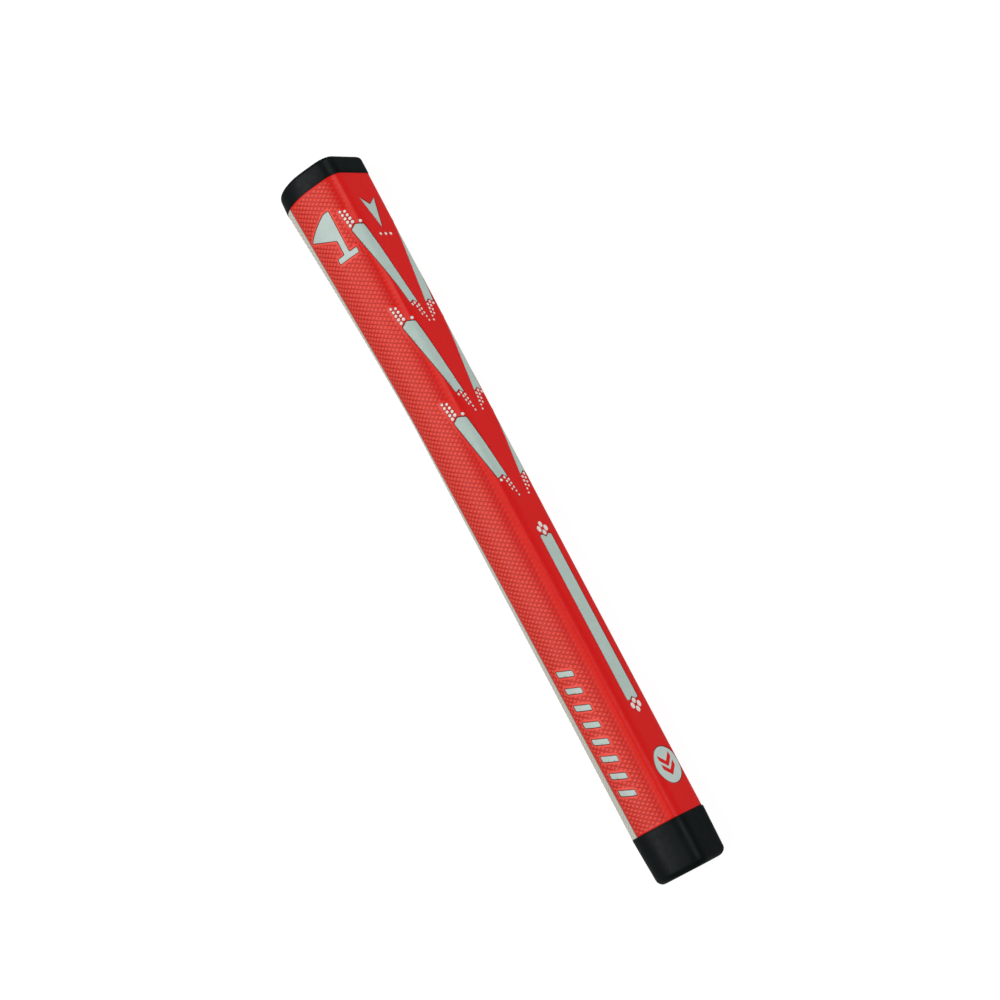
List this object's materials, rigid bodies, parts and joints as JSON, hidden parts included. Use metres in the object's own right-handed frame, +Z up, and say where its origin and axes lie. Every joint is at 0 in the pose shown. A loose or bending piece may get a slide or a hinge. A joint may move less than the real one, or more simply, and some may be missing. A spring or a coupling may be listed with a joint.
{
  "type": "golf putter grip",
  "caption": "Straight putter grip with a flat front, swelling towards the butt, with a skin over foam and a rubber cap at each end.",
  "frame": {"origin": "under the middle of the grip, level with the lowest line of the butt cap as the grip lies on its side", "axes": "+X runs along the shaft bore from the tip towards the butt, -Y is the way the flat front faces, +Z is up out of the grip's upper side"},
  "size_m": [0.267, 0.0302, 0.027],
  "materials": {
    "eva_foam": "closed-cell moulded foam, dead matte",
    "felt": "needled non-woven felt, matte",
    "red_skin": "polyurethane skin, satin, embossed with a fine diamond knurl on the sides",
    "pale_skin": "polyurethane skin, satin, pale grey",
    "black_rubber": "moulded rubber, satin",
    "ring_paint": "grey paint fill, satin",
    "pale_paint": "pale grey paint fill in pressed pockets, satin"
  },
  "bodies": {
    "root": {"foam_core": "eva_foam", "felt_backing": "felt", "front_panel": "red_skin", "back_strip": "pale_skin", "tip_cap": "black_rubber", "butt_cap": "black_rubber", "cap_ring": "ring_paint", "front_badge": "pale_paint", "alignment_stripe": "pale_paint", "round_emblem": "pale_paint", "chevron_1_upper": "pale_paint", "chevron_1_lower": "pale_paint", "chevron_2_upper": "pale_paint", "chevron_2_lower": "pale_paint", "chevron_3_upper": "pale_paint", "chevron_3_lower": "pale_paint", "side_flag_upper": "pale_paint", "side_flag_lower": "pale_paint", "side_bar_1_upper": "pale_paint", "side_bar_1_lower": "pale_paint", "side_bar_2_upper": "pale_paint", "side_bar_2_lower": "pale_paint", "side_bar_3_upper": "pale_paint", "side_bar_3_lower": "pale_paint", "side_bar_4_upper": "pale_paint", "side_bar_4_lower": "pale_paint", "side_bar_5_upper": "pale_paint", "side_bar_5_lower": "pale_paint", "side_bar_6_upper": "pale_paint", "side_bar_6_lower": "pale_paint", "side_bar_7_upper": "pale_paint", "side_bar_7_lower": "pale_paint", "side_bar_8_upper": "pale_paint", "side_bar_8_lower": "pale_paint"}
  },
  "joints": []
}
